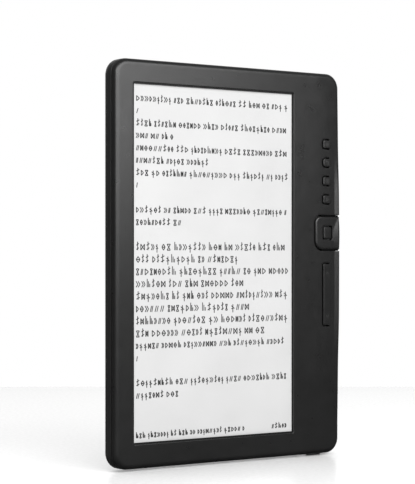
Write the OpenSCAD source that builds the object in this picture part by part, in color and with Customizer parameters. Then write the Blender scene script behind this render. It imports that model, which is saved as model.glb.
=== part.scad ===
// Hand-held e-reader with a tall screen, a column of keys at its right and a pillowed back.
// It stands on its bottom edge: +X is right as seen from the front, +Y runs into the body, +Z is up.
// The origin is under the middle of the body, level with the outer face of the power button.
// Every piece is drawn flat, as seen from the front: x to the right, y up from the body's bottom
// edge, and z as the depth behind the front face. The module place() then stands it up.

/* [Body] */
// Width of the body
body_w = 124; // [122:0.5:128]
// Height of the body
body_h = 176.2; // [175:0.2:180]
// Thickness of the body at the middle of its back
body_t = 10.6; // [10.6:0.1:12]
// How much thicker the grip behind the keys is
grip_rise = 0.8; // [0.4:0.1:1.2]
// Radius of the body's corners, seen from the front
corner_r = 7; // [6.5:0.5:9]
// Radius of the front edge, all round
front_edge_r = 2.4; // [1.8:0.1:2.6]
// Thickness of the moulded side walls
wall = 1.5; // [1.3:0.1:1.6]
// Thickness of the front face
face_t = 1; // [0.8:0.1:1]

/* [Screen] */
// Width of the lit area
screen_w = 85.92; // [84:0.02:86]
// Height of the lit area
screen_h = 154.08; // [152:0.02:154.1]
// Middle of the screen, from the middle of the body
screen_x = -8.6; // [-9:0.1:-8]
// Height of the middle of the screen above the body's bottom edge
screen_y = 88.4; // [87.8:0.1:89]
// Black border that shows between the lit area and the front shell
screen_border = 0.35; // [0.2:0.05:0.5]

/* [Keys] */
// Width of a function key's cap
key_w = 4.7; // [4:0.1:5]
// Height of a function key's cap
key_h = 3.7; // [3:0.1:4]
// Middle of the key column, from the middle of the body
key_x = 54.3; // [54:0.1:54.5]
// Height of the lowest function key above the body's bottom edge
key_low_y = 117.7; // [117:0.1:118]
// Distance from one function key to the next
key_pitch = 8.53; // [8:0.01:9]
// Open gap round every key and button
key_gap = 0.4; // [0.3:0.05:0.45]
// How far the keys stand out of the front face
key_proud = 0.3; // [0.2:0.05:0.35]
// How far a key goes in
key_travel = 0.4; // [0.2:0.05:0.4]

/* [Direction pad, rocker and power button] */
// Height of the middle of the direction pad
pad_y = 102.2; // [101.8:0.1:102.6]
// Height of the direction pad
pad_h = 15.3; // [14.5:0.1:15.5]
// Left side of the direction pad, from the middle of the body
pad_left = 47.3; // [47:0.1:48]
// Width of the centre button in the direction pad
ok_w = 4.7; // [4.2:0.1:4.9]
// Height of the centre button in the direction pad
ok_h = 5.5; // [5:0.1:5.8]
// Length of the page rocker
rocker_h = 28.4; // [26:0.1:29]
// Height of the middle of the page rocker
rocker_y = 73.6; // [73:0.1:74]
// Length of the power button
power_w = 7.5; // [6:0.1:8]
// Middle of the power button, from the middle of the body
power_x = 50; // [49:0.5:50.5]
// How far the power button stands out of the bottom edge
power_proud = 0.8; // [0.6:0.1:1]

/* [Back] */
// Length of the speaker slot
slot_h = 15.7; // [12:0.1:17]
// Width of the speaker slot
slot_w = 2.2; // [1.6:0.1:2.6]
// Middle of the speaker slot, from the middle of the body
slot_x = -40; // [-42:0.5:-39]
// Height of the middle of the speaker slot
slot_y = 144; // [140:0.5:146]

/* [Hidden] */
$fn = 48;
EPS = 0.01;

// Depths of the seams between the three parts of the housing
seam_front = 3.1;
seam_back = 6.6;
total_t = body_t + grip_rise;
button_proud = key_proud + 0.05;
core_w = body_w - 2 * corner_r;
core_h = body_h - 2 * corner_r;
half_w = body_w / 2;
mid_y = body_h / 2;

// Grooves along the two seams: the front one is a rebate in the front shell, the back one in the frame
groove_front_w = seam_front - front_edge_r;
groove_front_d = 0.55;
groove_back_w = 0.2;
groove_back_d = 0.25;

// The back's curve starts this deep at the outline and levels out this far in from it
back_start = 6.9;
back_reach = 20;
// The cavity of the back cover goes in by steps, each as inset and depth
cavity_steps = [[1.9, 7.4], [2.6, 8], [5.5, 8.8], [11, 9.4]];

// Grip behind the keys
ridge_x = 36;
ridge_w = 4;
grip_end = 9;
grip_fade = 16;

// Display module, as margins round the lit area
module_side = 3.25;
module_low = 5.3;
module_high = 3.4;
rim_front = face_t + 0.15;
rim_t = 0.2;
rim_wall = 0.4;
rim_back = 4.4;
panel_back = 2.35;
guide_back = 3.6;
module_w = screen_w + 2 * module_side;
module_h = screen_h + module_low + module_high;
module_y0 = screen_y - screen_h / 2 - module_low;

// Depths of what lies behind the display
plate_front = 4.5;
plate_back = 4.8;
board_front = 6.9;
board_back = 7.7;
battery_front = 5;
battery_back = 8.6;

// Keys: the flange that holds each in, its post, and the domes that the posts press
flange_w = 0.7;
flange_front = 1.45;
flange_back = 2;
pad_flange_front = 1.6;
pad_skirt = 2.5;
post_end = 3.15;
dome_front = post_end + key_travel + 0.05;
key_board_front = 3.9;
key_board_back = 4.7;
dome_r = 2;
pad_x = 54.5;
pad_right = half_w - 0.1;
rocker_post = 10;
rib_w = 3;
rib_r = 0.5;
rib_axis = key_board_front - rib_r - 0.05;
nav_reach = 5.6;
nav_side = 4;

// Bottom edge: the power button's flange and the sockets
power_t = 1.7;
power_z = 5.45;
power_flange_y = wall + 0.1;
power_flange_h = 0.7;
usb_x = 24;
usb_w = 7.5;
usb_front = 4.5;
jack_x = 41.5;
jack_z = 5.2;
jack_r = 1.8;
jack_depth = 12;
jack_collar_r = 2.2;
jack_y0 = 0.5;
card_x = -24;
card_w = 14;
card_front = 5.3;

// Screws: small self-tapping ones, as places seen from the front
screw_r = 0.7;
head_r = 1.3;
head_h = 0.8;
ear_back = 4.7;
boss_r = 1.6;
screw_edge = 3;
frame_screws = [
    [-46, screw_edge], [6, screw_edge], [33, screw_edge],
    [-46, body_h - screw_edge], [-8, body_h - screw_edge], [33, body_h - screw_edge],
    [half_w - screw_edge, 40], [half_w - screw_edge, 155]
];
board_screws = [[45.5, 53.5], [45.5, 147]];

// ---------- helpers ----------

module place() {
    translate([0, (button_proud - total_t) / 2, power_proud])
        mirror([0, 1, 0])
            rotate([90, 0, 0])
                children();
}

// A flat shape, thick from one depth to another
module layer(from, to) {
    translate([0, 0, from])
        linear_extrude(to - from)
            children();
}

// A shape drawn as x and depth, drawn out along y
module along_y(from, to) {
    translate([0, to, 0])
        rotate([90, 0, 0])
            linear_extrude(to - from)
                children();
}

// A shape drawn as y and depth, drawn out along x
module along_x(from, to) {
    translate([from, 0, 0])
        rotate([90, 0, 90])
            linear_extrude(to - from)
                children();
}

module rounded_rect(w, h, r) {
    square([w, h - 2 * r], center = true);
    square([w - 2 * r, h], center = true);
    for (sx = [-1, 1], sy = [-1, 1])
        translate([sx * (w / 2 - r), sy * (h / 2 - r)])
            circle(r);
}

// A ring round the body: the profile is given as inset from the outline and depth
module rim(profile) {
    right = [for (p = profile) [half_w - p[0], p[1]]];
    top = [for (p = profile) [body_h - p[0], p[1]]];
    bottom = [for (p = profile) [p[0], p[1]]];
    corner = [for (p = profile) [corner_r - p[0], p[1]]];
    along_y(corner_r, body_h - corner_r)
        polygon(right);
    mirror([1, 0, 0])
        along_y(corner_r, body_h - corner_r)
            polygon(right);
    along_x(-core_w / 2, core_w / 2)
        polygon(top);
    along_x(-core_w / 2, core_w / 2)
        polygon(bottom);
    for (i = [0:3])
        translate([(i == 0 || i == 3 ? 1 : -1) * core_w / 2, i < 2 ? body_h - corner_r : corner_r, 0])
            rotate(90 * i)
                rotate_extrude(angle = 90, $fn = 96)
                    polygon(corner);
}

// Points round a quarter of a circle of the front edge, as inset and depth
function front_edge(r) = [for (a = [0:10:90]) [r * (1 - cos(a)), r * (1 - sin(a))]];

// Depth of the back's outside, at an inset from the outline
function back_depth(u) =
    let (s = 1 - min(u, back_reach) / back_reach)
    back_start + (body_t - back_start) * pow(1 - s * s, 0.33);

// Insets that bunch up towards the outline, where the back curves most
function insets(reach, count) = [for (i = [0:count]) reach * pow(i / count, 2.5)];

// Holes through the housing's bottom edge
module port_holes() {
    translate([usb_x - usb_w / 2 - 0.25, -1, usb_front - 0.2])
        cube([usb_w + 0.5, 4, board_front - usb_front + 0.4]);
    translate([card_x - card_w / 2 + 0.7, -1, card_front])
        cube([card_w - 1.4, 4, seam_back - card_front + EPS]);
    translate([jack_x, -1, jack_z])
        rotate([-90, 0, 0])
            cylinder(r = jack_collar_r + 0.25, h = 4);
    translate([power_x - power_w / 2 - key_gap, -1, power_z - power_t / 2 - key_gap])
        cube([power_w + 2 * key_gap, 4, seam_back - power_z + power_t / 2 + key_gap + EPS]);
}

// ---------- housing ----------

module front_shell() {
    profile = concat(
        [[wall, seam_front], [groove_front_d, seam_front], [groove_front_d, seam_front - groove_front_w]],
        front_edge(front_edge_r),
        [[corner_r, 0], [corner_r, face_t], [wall, face_t]]
    );
    color([0.17, 0.17, 0.17])
        difference() {
            union() {
                rim(profile);
                translate([0, mid_y, 0])
                    layer(0, face_t)
                        square([core_w, core_h], center = true);
                for (p = frame_screws)
                    translate([p[0], p[1], face_t - EPS])
                        cylinder(r = boss_r, h = seam_front - face_t + EPS);
                for (p = board_screws)
                    translate([p[0], p[1], face_t - EPS])
                        cylinder(r = boss_r, h = key_board_front - face_t + EPS);
            }
            translate([screen_x, screen_y, 0])
                layer(-1, face_t + 1)
                    rounded_rect(screen_w + 2 * screen_border, screen_h + 2 * screen_border, 1);
            for (i = [0:3])
                translate([key_x, key_low_y + i * key_pitch, 0])
                    layer(-1, face_t + 1)
                        rounded_rect(key_w + 2 * key_gap, key_h + 2 * key_gap, 1);
            translate([key_x, rocker_y, 0])
                layer(-1, face_t + 1)
                    rounded_rect(key_w + 2 * key_gap, rocker_h + 2 * key_gap, 0.8);
            layer(-1, seam_front + 1)
                pad_outline(key_gap);
            for (p = frame_screws)
                translate([p[0], p[1], face_t + 0.4])
                    cylinder(r = screw_r + 0.02, h = 4);
            for (p = board_screws)
                translate([p[0], p[1], face_t + 0.8])
                    cylinder(r = screw_r + 0.02, h = 4);
            port_holes();
        }
}

module mid_frame() {
    profile = [
        [0, seam_front], [0, seam_back - groove_back_w],
        [groove_back_d, seam_back - groove_back_w], [groove_back_d, seam_back],
        [wall, seam_back], [wall, seam_front]
    ];
    ear = 2 * screw_edge - wall;
    color([0.22, 0.22, 0.22])
        difference() {
            union() {
                rim(profile);
                for (p = frame_screws)
                    intersection() {
                        translate([p[0] - ear / 2, p[1] - ear / 2, seam_front])
                            cube([ear, ear, ear_back - seam_front]);
                        translate([-half_w + wall / 2, wall / 2, 0])
                            cube([body_w - wall, body_h - wall, body_t]);
                    }
            }
            for (p = frame_screws)
                translate([p[0], p[1], 0])
                    cylinder(r = screw_r + 0.15, h = body_t);
            port_holes();
        }
}

module back_cover() {
    outer = [for (u = insets(corner_r, 8)) [u, back_depth(u)]];
    inner = [
        [corner_r, cavity_steps[2][1]], [cavity_steps[2][0], cavity_steps[2][1]],
        [cavity_steps[2][0], cavity_steps[1][1]], [cavity_steps[1][0], cavity_steps[1][1]],
        [cavity_steps[1][0], cavity_steps[0][1]], [cavity_steps[0][0], cavity_steps[0][1]],
        [cavity_steps[0][0], seam_back]
    ];
    color([0.26, 0.26, 0.26])
        difference() {
            union() {
                rim(concat([[0, seam_back]], outer, inner));
                crown();
                grip();
                cover_hooks();
            }
            for (s = [cavity_steps[2], cavity_steps[3]])
                translate([0, mid_y, 0])
                    layer(seam_back - 1, s[1])
                        square([body_w - 2 * max(s[0], corner_r + EPS), body_h - 2 * max(s[0], corner_r + EPS)],
                            center = true);
            translate([slot_x, slot_y, 0])
                layer(body_t - 2, body_t + 1)
                    rounded_rect(slot_w, slot_h, slot_w / 2 - EPS);
            port_holes();
        }
}

// The middle of the back, which rises to its full depth well inside the outline
module crown() {
    rise = [for (i = [0:5]) corner_r + (back_reach - corner_r) * i / 5];
    across = concat(
        [for (u = rise) [u - half_w, back_depth(u)]],
        [for (i = [5:-1:0]) [half_w - rise[i], back_depth(rise[i])]],
        [[core_w / 2, cavity_steps[2][1]], [-core_w / 2, cavity_steps[2][1]]]
    );
    up = concat(
        [for (u = rise) [u, back_depth(u)]],
        [for (i = [5:-1:0]) [body_h - rise[i], back_depth(rise[i])]],
        [[body_h - corner_r, cavity_steps[2][1]], [corner_r, cavity_steps[2][1]]]
    );
    intersection() {
        along_y(corner_r, body_h - corner_r)
            polygon(across);
        along_x(-core_w / 2, core_w / 2)
            polygon(up);
    }
}

// The thicker strip behind the keys, with a step along its inner side
module grip() {
    low = back_start + 0.6;
    across = [
        [ridge_x, low], [ridge_x, body_t - 0.1], [ridge_x + ridge_w, total_t - 0.05],
        [ridge_x + 2 * ridge_w, total_t], [half_w - 9, total_t - 0.1], [half_w - 5.5, total_t - 0.5],
        [half_w - 3, total_t - 1.2], [half_w - 1.4, total_t - 2.2], [half_w - 0.6, total_t - 3.2],
        [half_w - 0.6, low]
    ];
    up = [
        [grip_end, low], [grip_end, body_t - 0.9], [grip_end + grip_fade / 3, body_t + 0.2 * grip_rise],
        [grip_end + grip_fade, total_t], [body_h - grip_end - grip_fade, total_t],
        [body_h - grip_end - grip_fade / 3, body_t + 0.2 * grip_rise],
        [body_h - grip_end, body_t - 0.9], [body_h - grip_end, low]
    ];
    difference() {
        intersection() {
            along_y(grip_end, body_h - grip_end)
                polygon(across);
            along_x(ridge_x, half_w)
                polygon(up);
        }
        translate([ridge_x - 1, 0, low - 1])
            cube([half_w - cavity_steps[2][0] - ridge_x + 1, body_h, cavity_steps[2][1] - low + 1]);
    }
}

// Snap hooks that hold the back cover inside the frame
module cover_hooks() {
    inset = wall + 0.15;
    for (sx = [-1, 1], y = [62, 90, 128])
        translate([sx * (half_w - inset - 0.5) - 0.5, y - 4, 5.4])
            cube([1, 8, 2.2]);
    for (x = [-28, 12])
        translate([x - 4, body_h - inset - 1, 5.4])
            cube([8, 1, 2.2]);
}

module housing_screws() {
    color("silver") {
        for (p = frame_screws)
            translate([p[0], p[1], 0])
                screw(face_t + 0.6, ear_back);
        for (p = board_screws)
            translate([p[0], p[1], 0])
                screw(face_t + 1, key_board_back);
    }
}

// A pan-head screw whose head lies on the given depth, with a cross recess
module screw(tip, seat) {
    difference() {
        union() {
            translate([0, 0, tip])
                cylinder(r = screw_r, h = seat - tip + EPS);
            translate([0, 0, seat])
                cylinder(r = head_r, h = head_h);
        }
        for (a = [0, 90])
            rotate(a)
                translate([-0.7, -0.15, seat + head_h - 0.4])
                    cube([1.4, 0.3, 1]);
    }
}

// ---------- keys ----------

// One key: its cap, the flange that holds it in, and its post
module key(w, h, r) {
    layer(-key_proud, flange_back)
        rounded_rect(w, h, r);
    layer(flange_front, flange_back)
        rounded_rect(w + 2 * flange_w, h + 2 * flange_w, 0.8);
    translate([0, 0, flange_back - EPS])
        cylinder(r = 1, h = post_end - flange_back + EPS);
}

// Keys are counted from the top; the second has the roundest corners
module function_key(i) {
    color([0.2, 0.2, 0.2])
        translate([key_x, key_low_y + (4 - i) * key_pitch, 0])
            key(key_w, key_h, i == 2 ? 1.2 : 0.7);
}

// Outline of the direction pad, grown by a gap: rounded at its left, open to the body's edge
module pad_outline(grow) {
    left = pad_left - grow;
    low = pad_y - pad_h / 2 - grow;
    high = pad_y + pad_h / 2 + grow;
    r_low = 4 + grow;
    r_high = 3 + grow;
    translate([left + r_low, low + r_low])
        circle(r_low);
    translate([left + r_high, high - r_high])
        circle(r_high);
    translate([left + r_low, low])
        square([half_w + 1 - left - r_low, high - low]);
    translate([left, low + r_low])
        square([r_low + 1, high - low - r_low - r_high]);
    translate([left + r_high, low + r_low])
        square([r_low + 1, high - low - r_low]);
}

// The pad wraps over the body's right edge, so its side is part of the side of the body
module direction_pad() {
    edge = front_edge(front_edge_r);
    section = concat(
        [[pad_left - 1, flange_back], [pad_left - 1, -key_proud]],
        [for (i = [9:-1:0]) [pad_right - edge[i][0], edge[i][1] - key_proud]],
        [[pad_right, pad_skirt], [pad_right - 1.2, pad_skirt], [pad_right - 1.2, flange_back]]
    );
    color([0.2, 0.2, 0.2])
        difference() {
            union() {
                intersection() {
                    along_y(pad_y - pad_h, pad_y + pad_h)
                        polygon(section);
                    layer(-1, seam_front)
                        pad_outline(0);
                }
                translate([pad_left - flange_w, pad_y - pad_h / 2 - flange_w, pad_flange_front])
                    cube([10, pad_h + 2 * flange_w, flange_back - pad_flange_front]);
            }
            translate([pad_x, pad_y, 0])
                layer(-1, seam_front)
                    rounded_rect(ok_w + 2 * key_gap, ok_h + 2 * key_gap, 1);
        }
}

// Rubber under the pad, with a nub for each of the four ways it is pressed
module nav_rubber() {
    front = flange_back + 0.3;
    color([0.3, 0.3, 0.3])
        difference() {
            union() {
                translate([pad_x, pad_y, 0])
                    layer(front, front + 0.6)
                        rounded_rect(11.6, 14.4, 2);
                for (d = [[-1, 0], [1, 0], [0, -1], [0, 1]])
                    translate([pad_x + d[0] * nav_side, pad_y + d[1] * nav_reach, front])
                        cylinder(r = 1, h = post_end + 0.1 - front);
            }
            translate([pad_x, pad_y, 0])
                cylinder(r = 1.7, h = 5);
        }
}

module centre_button() {
    color([0.2, 0.2, 0.2])
        translate([pad_x, pad_y, 0]) {
            layer(-button_proud, flange_back - 0.3)
                rounded_rect(ok_w, ok_h, 0.7);
            translate([0, 0, 1])
                cylinder(r = 1.2, h = post_end - 1);
        }
}

module page_rocker() {
    color([0.2, 0.2, 0.2])
        translate([key_x, rocker_y, 0]) {
            layer(-key_proud, flange_back)
                rounded_rect(key_w, rocker_h, 0.5);
            layer(flange_front, flange_back)
                rounded_rect(key_w + 2 * flange_w, rocker_h + 2 * flange_w, 0.8);
            for (s = [-1, 1])
                translate([0, s * rocker_post, flange_back - EPS])
                    cylinder(r = 1, h = post_end - flange_back + EPS);
            rocking_rib();
        }
}

// The round-edged rib under the middle of the rocker, which it rocks on
module rocking_rib() {
    along_x(-rib_w / 2, rib_w / 2) {
        translate([0, rib_axis])
            circle(rib_r);
        translate([-rib_r, flange_back - EPS])
            square([2 * rib_r, rib_axis - flange_back + EPS]);
    }
}

module power_button() {
    color([0.24, 0.24, 0.24]) {
        translate([power_x - power_w / 2, -power_proud, power_z - power_t / 2])
            cube([power_w, power_proud + power_flange_y + power_flange_h, power_t]);
        translate([power_x - power_w / 2 - 1, power_flange_y, power_z - power_t / 2])
            cube([power_w + 2, power_flange_h, power_t]);
    }
}

// ---------- display ----------

// A frame round the screen: outer size less an opening that is larger than the lit area
module screen_frame(from, to, opening) {
    translate([0, 0, from])
        linear_extrude(to - from)
            difference() {
                translate([screen_x - module_w / 2, module_y0])
                    square([module_w, module_h]);
                translate([screen_x - screen_w / 2 - opening, screen_y - screen_h / 2 - opening])
                    square([screen_w + 2 * opening, screen_h + 2 * opening]);
            }
}

module screen_gasket() {
    color([0.1, 0.1, 0.1])
        screen_frame(face_t, rim_front, 1);
}

module display_rim() {
    color("silver") {
        screen_frame(rim_front, rim_front + rim_t, 0.8);
        difference() {
            translate([screen_x - module_w / 2, module_y0, rim_front])
                cube([module_w, module_h, rim_back - rim_front]);
            translate([screen_x - module_w / 2 + rim_wall, module_y0 + rim_wall, rim_front - 1])
                cube([module_w - 2 * rim_wall, module_h - 2 * rim_wall, rim_back]);
        }
    }
}

// A plate that fills the display rim, less a clearance, from one depth to another
module module_plate(from, to, low_cut) {
    clear = rim_wall + 0.1;
    translate([screen_x - module_w / 2 + clear, module_y0 + clear + low_cut, from])
        cube([module_w - 2 * clear, module_h - 2 * clear - low_cut, to - from]);
}

module display_panel() {
    color([0.93, 0.93, 0.93])
        module_plate(rim_front + rim_t, panel_back, 0);
}

module light_guide() {
    color([0.85, 0.9, 0.92])
        module_plate(panel_back + 0.05, guide_back, 2.4);
}

module led_strip() {
    color([0.9, 0.85, 0.6])
        for (i = [-7:7])
            translate([screen_x + i * 5.6 - 1.5, module_y0 + rim_wall + 0.4, panel_back + 0.15])
                cube([3, 1.6, 0.8]);
    color([0.75, 0.5, 0.15])
        translate([screen_x - 42, module_y0 + rim_wall + 0.4, panel_back + 0.95])
            cube([84, 1.6, 0.2]);
}

module backlight_tray() {
    color("white")
        module_plate(guide_back, rim_back - 0.1, 0);
}

module chassis_plate() {
    color([0.6, 0.6, 0.62])
        difference() {
            translate([screen_x - module_w / 2 - 0.5, module_y0 + 0.8, plate_front])
                cube([module_w + 1, module_h - 0.8, plate_back - plate_front]);
            for (y = [40.5, 152])
                translate([screen_x - 34, y, plate_front - 1])
                    cube([24, 3, 3]);
        }
}

// Thin cable that folds round the display's lower end and runs to the main board
module display_flex() {
    cable_t = 0.12;
    cable_w = 26;
    fold_y = module_y0 - 0.3;
    rear = plate_back + 0.05;
    color([0.75, 0.5, 0.15])
        translate([-28, 0, 0]) {
            translate([0, fold_y, 1.9])
                cube([cable_w, 0.28, cable_t]);
            translate([0, fold_y, 1.9])
                cube([cable_w, cable_t, rear + cable_t - 1.9]);
            translate([0, fold_y, rear])
                cube([cable_w, 24, cable_t]);
            translate([0, fold_y + 24 - cable_t, rear])
                cube([cable_w, cable_t, board_front - rear]);
        }
}

// ---------- boards and sockets ----------

module main_board() {
    color([0.1, 0.35, 0.2])
        difference() {
            translate([1.5, 20.5, 0])
                layer(board_front, board_back)
                    rounded_rect(109, 35, 3);
            translate([jack_x - 3.5, 0, board_front - 1])
                cube([7, jack_depth + 3.2, 3]);
        }
}

module board_chips() {
    color([0.12, 0.12, 0.13])
        for (c = [[-6, 25, 12, 12], [17, 27, 11, 8], [-24, 28, 8, 8], [42, 27, 9, 7], [-44, 26, 7, 7]])
            translate([c[0] - c[2] / 2, c[1] - c[3] / 2, board_back])
                cube([c[2], c[3], 0.9]);
}

// Sheet-metal cover over the processor
module shield_can() {
    color("silver")
        difference() {
            translate([-15, 16, board_back])
                cube([18, 18, 1.35]);
            translate([-14.8, 16.2, board_back - 1])
                cube([17.6, 17.6, 2.15]);
        }
}

module usb_socket() {
    color("silver")
        difference() {
            translate([usb_x - usb_w / 2, 0.7, usb_front])
                cube([usb_w, 5.2, board_front - usb_front]);
            translate([usb_x - usb_w / 2 + 0.3, 0, usb_front + 0.3])
                cube([usb_w - 0.6, 5.4, board_front - usb_front - 0.6]);
        }
    color([0.1, 0.1, 0.1])
        translate([usb_x - 1.9, 1.2, usb_front + 0.5])
            cube([3.8, 4.5, 0.6]);
}

module headphone_jack() {
    color([0.08, 0.08, 0.08])
        difference() {
            union() {
                translate([jack_x - 3.2, 2.8, jack_z - 2.3])
                    cube([6.4, jack_y0 + jack_depth - 1.3, 4.6]);
                translate([jack_x, jack_y0, jack_z])
                    rotate([-90, 0, 0])
                        cylinder(r = jack_collar_r, h = 3);
            }
            translate([jack_x, jack_y0 - 1, jack_z])
                rotate([-90, 0, 0])
                    cylinder(r = jack_r, h = jack_depth + 1);
        }
}

module card_socket() {
    color("silver")
        difference() {
            translate([card_x - card_w / 2, 2, card_front])
                cube([card_w, 15, board_front - card_front]);
            translate([card_x - 5.8, 1, card_front + 0.25])
                cube([11.6, 14.5, 1]);
        }
}

module power_switch() {
    color([0.85, 0.85, 0.85])
        translate([power_x - 2.4, power_flange_y + power_flange_h + 0.6, 4.9]) {
            translate([0, 0.8, 0])
                cube([4.8, 2.6, board_front - 4.9]);
            translate([1.4, 0, 0.3])
                cube([2, 0.9, 1]);
        }
}

module key_board() {
    color([0.1, 0.35, 0.2])
        difference() {
            translate([43, 50, key_board_front])
                cube([16, 100, key_board_back - key_board_front]);
            for (p = board_screws)
                translate([p[0], p[1], 0])
                    cylinder(r = screw_r + 0.15, h = 8);
        }
}

module snap_domes() {
    places = concat(
        [for (i = [0:3]) [key_x, key_low_y + i * key_pitch]],
        [for (s = [-1, 1]) [key_x, rocker_y + s * rocker_post]],
        [for (s = [-1, 1]) [pad_x, pad_y + s * nav_reach]],
        [for (s = [-1, 1]) [pad_x + s * nav_side, pad_y]]
    );
    color("silver") {
        for (p = places)
            translate([p[0], p[1], dome_front])
                cylinder(r1 = 1, r2 = dome_r - 0.1, h = key_board_front - dome_front);
        translate([pad_x, pad_y, dome_front])
            cylinder(r1 = 1, r2 = dome_r - 0.1, h = key_board_front - dome_front);
    }
}

module key_flex() {
    cable_t = 0.12;
    color([0.75, 0.5, 0.15])
        translate([49, 0, key_board_back]) {
            translate([0, 34, 0])
                cube([6, 24, cable_t]);
            translate([0, 34, 0])
                cube([6, cable_t, board_front - key_board_back]);
        }
}

// ---------- battery and speaker ----------

module battery() {
    color([0.75, 0.76, 0.78])
        translate([6, 91, 0])
            layer(battery_front, battery_back)
                rounded_rect(55, 90, 1.5);
}

module battery_tape() {
    color([0.9, 0.9, 0.85])
        for (x = [-12, 6, 24])
            translate([x - 5, 54, plate_back])
                cube([10, 74, battery_front - plate_back]);
}

module battery_leads() {
    wires = [["firebrick", 19.2], [[0.1, 0.1, 0.1], 20.8]];
    for (wire = wires)
        color(wire[0])
            translate([wire[1], 37, board_back + 0.75])
                rotate([-90, 0, 0])
                    cylinder(r = 0.5, h = 9, $fn = 24);
}

module battery_plug() {
    color("white")
        translate([17, 32, board_back])
            cube([6, 5, 1.5]);
}

module speaker() {
    color([0.2, 0.2, 0.2])
        translate([slot_x, slot_y, 0])
            difference() {
                layer(plate_back, 8.2)
                    rounded_rect(16, 22, 3);
                layer(7.6, 9)
                    rounded_rect(12, 18, 2);
            }
}

module speaker_foam() {
    color([0.08, 0.08, 0.08])
        translate([slot_x, slot_y, 8.2])
            linear_extrude(cavity_steps[3][1] - 8.2 - 0.16)
                difference() {
                    square([16, 22], center = true);
                    square([12.5, 18.5], center = true);
                }
}

module speaker_mesh() {
    color([0.05, 0.05, 0.05])
        translate([slot_x, slot_y, cavity_steps[3][1] - 0.15])
            linear_extrude(0.15)
                square([8, 20], center = true);
}

module speaker_leads() {
    wires = [["firebrick", -42.8], [[0.1, 0.1, 0.1], -41.4]];
    for (wire = wires)
        color(wire[0])
            translate([wire[1], 38, 6.6])
                rotate([-90, 0, 0])
                    cylinder(r = 0.45, h = slot_y - 11 - 38, $fn = 24);
}

place() front_shell();
place() mid_frame();
place() back_cover();
place() housing_screws();
place() function_key(1);  // function_key_1
place() function_key(2);  // function_key_2
place() function_key(3);  // function_key_3
place() function_key(4);  // function_key_4
place() direction_pad();
place() nav_rubber();
place() centre_button();
place() page_rocker();
place() power_button();
place() screen_gasket();
place() display_rim();
place() display_panel();
place() light_guide();
place() led_strip();
place() backlight_tray();
place() chassis_plate();
place() display_flex();
place() main_board();
place() board_chips();
place() shield_can();
place() usb_socket();
place() headphone_jack();
place() card_socket();
place() power_switch();
place() key_board();
place() snap_domes();
place() key_flex();
place() battery();
place() battery_tape();
place() battery_leads();
place() battery_plug();
place() speaker();
place() speaker_foam();
place() speaker_mesh();
place() speaker_leads();
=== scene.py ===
"""Looks of the e-reader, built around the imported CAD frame.

Shapes are worked out in millimetres in the body's own measure: x to the right as seen from the front,
d as the depth behind the front face, z up from the body's bottom edge. to_row() turns them into metres
in the frame.
"""
import math
import random

import bmesh
import bpy
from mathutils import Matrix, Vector
from mathutils.geometry import delaunay_2d_cdt


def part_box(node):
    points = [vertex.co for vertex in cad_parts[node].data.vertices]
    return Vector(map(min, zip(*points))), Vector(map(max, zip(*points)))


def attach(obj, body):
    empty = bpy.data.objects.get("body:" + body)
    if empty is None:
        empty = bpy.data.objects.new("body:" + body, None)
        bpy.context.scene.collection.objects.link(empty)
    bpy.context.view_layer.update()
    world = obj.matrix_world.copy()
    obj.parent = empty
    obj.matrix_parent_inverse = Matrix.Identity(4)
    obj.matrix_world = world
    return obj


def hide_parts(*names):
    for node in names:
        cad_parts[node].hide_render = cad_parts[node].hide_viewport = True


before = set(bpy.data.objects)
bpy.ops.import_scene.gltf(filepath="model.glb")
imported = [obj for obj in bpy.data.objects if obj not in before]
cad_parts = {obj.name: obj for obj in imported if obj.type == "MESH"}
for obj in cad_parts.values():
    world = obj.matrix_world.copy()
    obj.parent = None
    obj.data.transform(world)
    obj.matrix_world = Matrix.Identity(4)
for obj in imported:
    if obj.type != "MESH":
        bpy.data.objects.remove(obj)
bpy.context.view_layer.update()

# ---------- sizes, from the frame ----------

MM = 0.001
SHELL_LOW, SHELL_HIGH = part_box("front_shell")
MID_LOW, MID_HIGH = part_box("mid_frame")
COVER_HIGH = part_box("back_cover")[1]
PANEL_LOW, PANEL_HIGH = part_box("display_panel")
FRONT_Y = SHELL_LOW.y
BASE_Z = SHELL_LOW.z


def mm_box(node):
    """Lowest and highest x, d and z of a CAD node, in the body's own measure."""
    low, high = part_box(node)
    shift = Vector((0, FRONT_Y, BASE_Z))
    return (low - shift) / MM, (high - shift) / MM


W = (SHELL_HIGH.x - SHELL_LOW.x) / MM
H = (SHELL_HIGH.z - SHELL_LOW.z) / MM
HALF = W / 2
SEAM_FRONT = (MID_LOW.y - FRONT_Y) / MM
SEAM_BACK = (MID_HIGH.y - FRONT_Y) / MM
GRIP_DEPTH = (COVER_HIGH.y - FRONT_Y) / MM
GRIP_RISE = 0.8
BACK_DEPTH = GRIP_DEPTH - GRIP_RISE

# Outline and walls: corner and edge roundings, the seam's groove, the thickness of wall and face, and
# the depth of the front shell's inside
CORNER_R = 7.0
EDGE_R = 2.4
GROOVE_D = 0.55
WALL = 1.5
FACE_T = 1.0
INNER_D = FACE_T + 0.6

# Keys: the gaps round them, and the flange behind the shell that holds each in
KEY_GAP = 0.6
PAD_GAP = 0.7
FLANGE = 0.7
FLANGE_FRONT = 1.6
FLANGE_BACK = 2.0

# Roundings where a surface turns into an opening or a seam
WINDOW_LIP = 0.22
KEY_LIP = 0.14
PAD_LIP = 0.16
SEAM_LIP = 0.14
COVER_LIP = 0.12
SLOT_LIP = 0.25

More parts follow.
